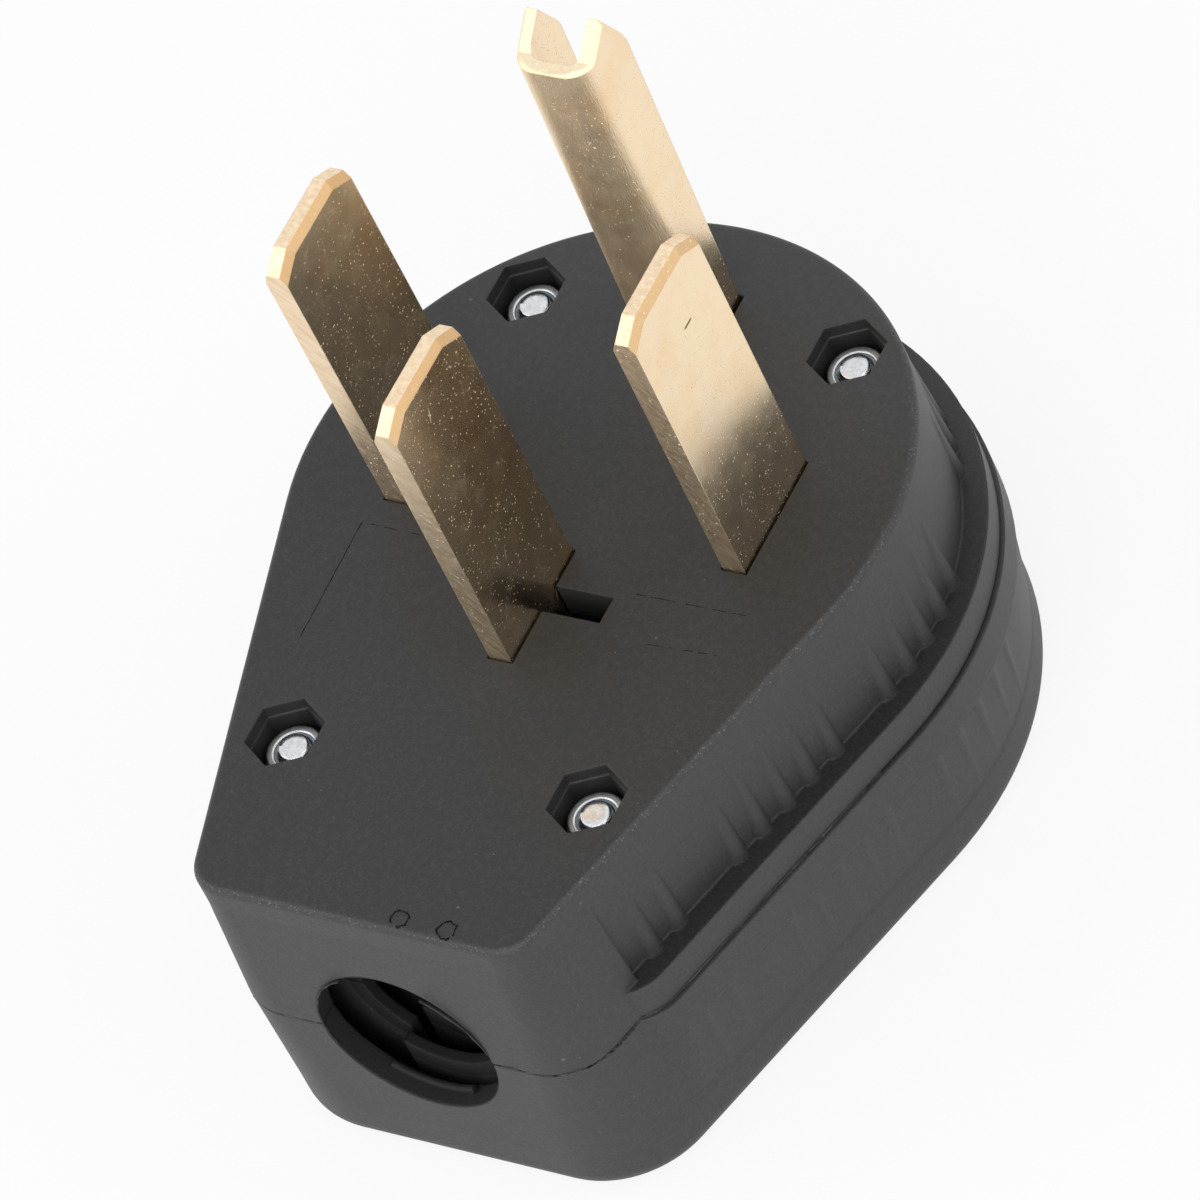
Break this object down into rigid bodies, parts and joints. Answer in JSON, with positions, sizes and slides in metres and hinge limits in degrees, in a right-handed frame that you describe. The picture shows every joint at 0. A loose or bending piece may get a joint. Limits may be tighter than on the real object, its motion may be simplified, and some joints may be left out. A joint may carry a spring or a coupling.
{
  "type": "right-angle power plug",
  "caption": "Right-angle mains power plug with flat blades and a folded ground pin on a round face, clamshell housing and side cable inlet.",
  "frame": {"origin": "on the flat back, on the axis of the housing's round end", "axes": "+Z is the way the blades point, out of the face; -Y is the cable inlet; +X is to the right when the face is looked at with the cable inlet down"},
  "size_m": [0.0666, 0.0847, 0.0758],
  "materials": {
    "face_shell_plastic": "fine-grained moulded dark grey",
    "rear_shell_plastic": "fine-grained moulded dark grey",
    "blade_brass": "rolled, sheared edges, bevelled tips",
    "pin_brass": "folded strip, brushed",
    "clamp_brass": "plain stamped",
    "terminal_steel": "zinc plated",
    "fastener_steel": "bright zinc plated",
    "nylon": "natural nylon ring",
    "retainer_plastic": "moulded insulating plate"
  },
  "bodies": {
    "root": {"face_shell": "face_shell_plastic", "rear_shell": "rear_shell_plastic", "left_hot_blade": "blade_brass", "right_hot_blade": "blade_brass", "neutral_blade": "blade_brass", "ground_pin": "pin_brass", "left_hot_clamp": "clamp_brass", "right_hot_clamp": "clamp_brass", "neutral_clamp": "clamp_brass", "ground_clamp": "clamp_brass", "left_hot_terminal_screw": "terminal_steel", "right_hot_terminal_screw": "terminal_steel", "neutral_terminal_screw": "terminal_steel", "ground_terminal_screw": "terminal_steel", "terminal_nuts": "terminal_steel", "assembly_screws": "fastener_steel", "lock_nuts": "fastener_steel", "nut_inserts": "nylon", "blade_retainer": "retainer_plastic", "retainer_screws": "fastener_steel"}
  },
  "joints": []
}
